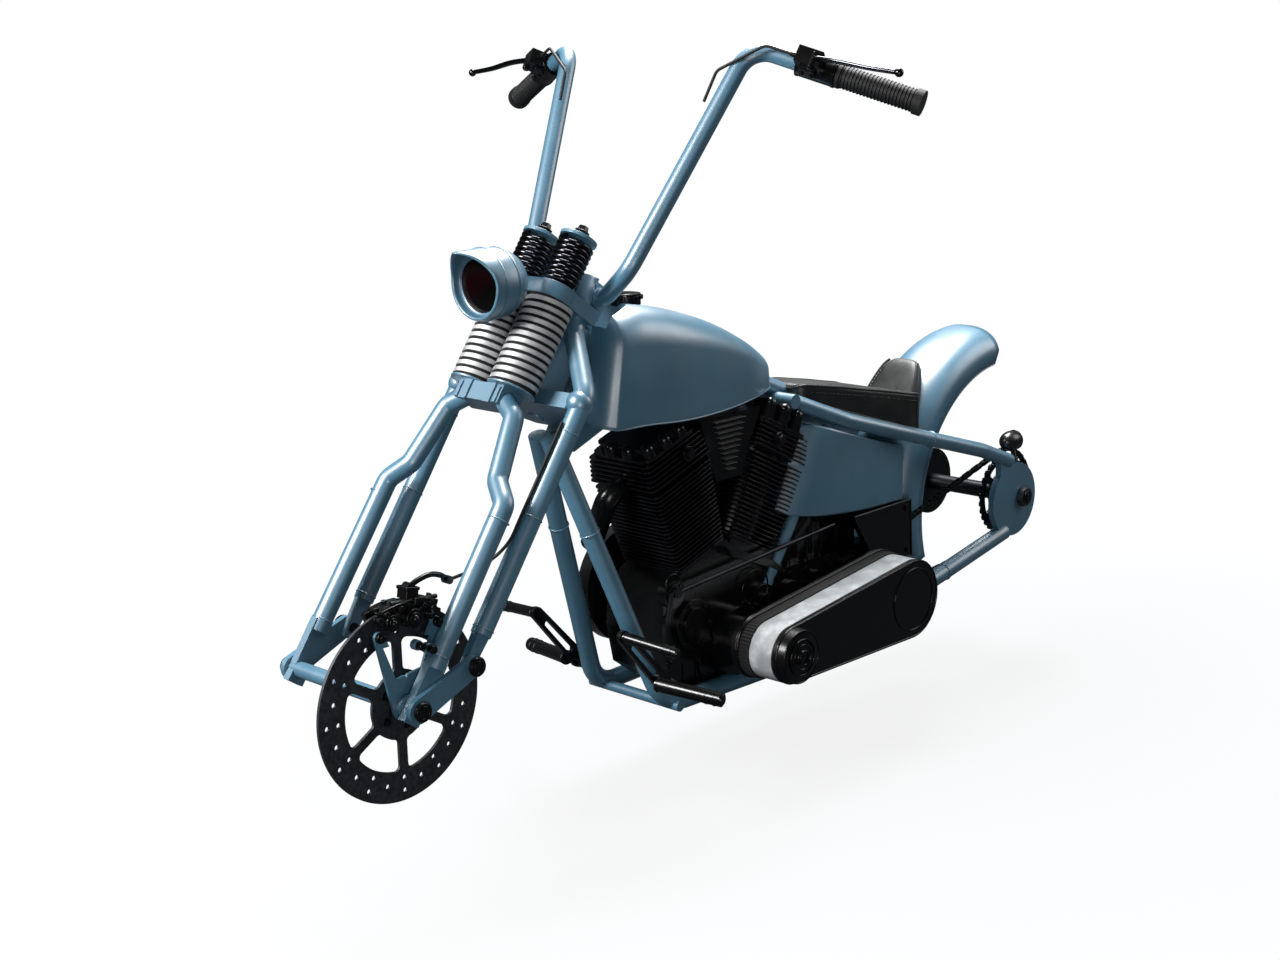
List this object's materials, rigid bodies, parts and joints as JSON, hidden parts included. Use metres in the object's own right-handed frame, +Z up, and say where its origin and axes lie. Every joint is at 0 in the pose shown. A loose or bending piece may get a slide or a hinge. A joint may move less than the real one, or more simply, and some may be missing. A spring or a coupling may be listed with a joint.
{
  "type": "bobber motorcycle without wheels",
  "caption": "Rigid-frame V-twin bobber with springer fork, tall handlebars, teardrop tank, solo seat and open belt primary; its wheels are missing.",
  "frame": {"origin": "top of the seat under the rider, on the centre plane", "axes": "+X forward, +Y to the rider's left, +Z up"},
  "size_m": [1.816, 0.9558, 1.0948],
  "materials": {
    "blue_paint": "semi-gloss pale steel-blue paint",
    "black_paint": "gloss black paint",
    "engine_black": "satin black coated castings",
    "spring_steel": "satin steel",
    "black_spring": "gloss black steel",
    "disc_steel": "dark machined steel",
    "seat_leather": "satin black leather",
    "grip_rubber": "matt black rubber",
    "belt_rubber": "dusty grey rubber",
    "lamp_glass": "dark smoked glass",
    "lamp_black": "gloss black shell",
    "dark_steel": "dark steel"
  },
  "bodies": {
    "frame": {"steering_head": "blue_paint", "lower_tubes": "blue_paint", "upper_rails": "blue_paint", "axle_plates": "blue_paint", "seat_posts": "blue_paint", "cross_tubes": "blue_paint", "tank": "blue_paint", "tank_cap": "black_paint", "seat": "seat_leather", "backrest": "seat_leather", "rear_fender": "blue_paint", "oil_tank": "blue_paint", "crankcase": "engine_black", "barrels": "engine_black", "cylinder_heads": "engine_black", "intake": "engine_black", "exhaust_elbow": "engine_black", "right_cover": "engine_black", "gearbox": "engine_black", "gearbox_guard": "black_paint", "primary_plate": "engine_black", "primary_pulleys": "dark_steel", "primary_belt": "belt_rubber", "primary_cover": "black_paint", "drive_chain": "dark_steel", "rear_axle": "dark_steel", "tail_lamp": "lamp_black", "lamp_stay": "black_paint", "foot_brackets": "black_paint", "foot_pegs": "black_paint", "shift_rod": "dark_steel"},
    "fork": {"rigid_legs": "blue_paint", "fork_stem": "blue_paint", "spring_legs": "blue_paint", "lower_springs": "spring_steel", "upper_springs": "black_spring", "spring_rods": "black_paint", "rockers": "blue_paint", "pivot_caps": "black_paint", "front_axle": "blue_paint", "brake_caliper": "black_paint", "caliper_bracket": "blue_paint", "brake_hose": "grip_rubber", "headlight_shell": "blue_paint", "headlight_lens": "lamp_glass", "handlebar": "blue_paint", "grips": "grip_rubber", "control_housings": "black_paint", "brake_levers": "black_paint", "control_cables": "grip_rubber"},
    "front_rotor": {"front_disc": "disc_steel"},
    "rear_rotor": {"rear_hub": "dark_steel", "rear_sprocket": "black_paint", "rear_disc": "dark_steel"}
  },
  "joints": [
    {"name": "steering", "type": "hinge", "parent": "frame", "child": "fork", "pos_m": [0.73722, 0, 0.14892], "axis": [-0.5821, 0, 0.8131], "range_deg": [-25, 25]},
    {"name": "front_disc_spin", "type": "hinge", "parent": "fork", "child": "front_rotor", "pos_m": [1.18, 0.108, -0.272], "axis": [0, 1, 0], "continuous": true},
    {"name": "rear_hub_spin", "type": "hinge", "parent": "frame", "child": "rear_rotor", "pos_m": [-0.395, 0, -0.272], "axis": [0, 1, 0], "continuous": true}
  ]
}
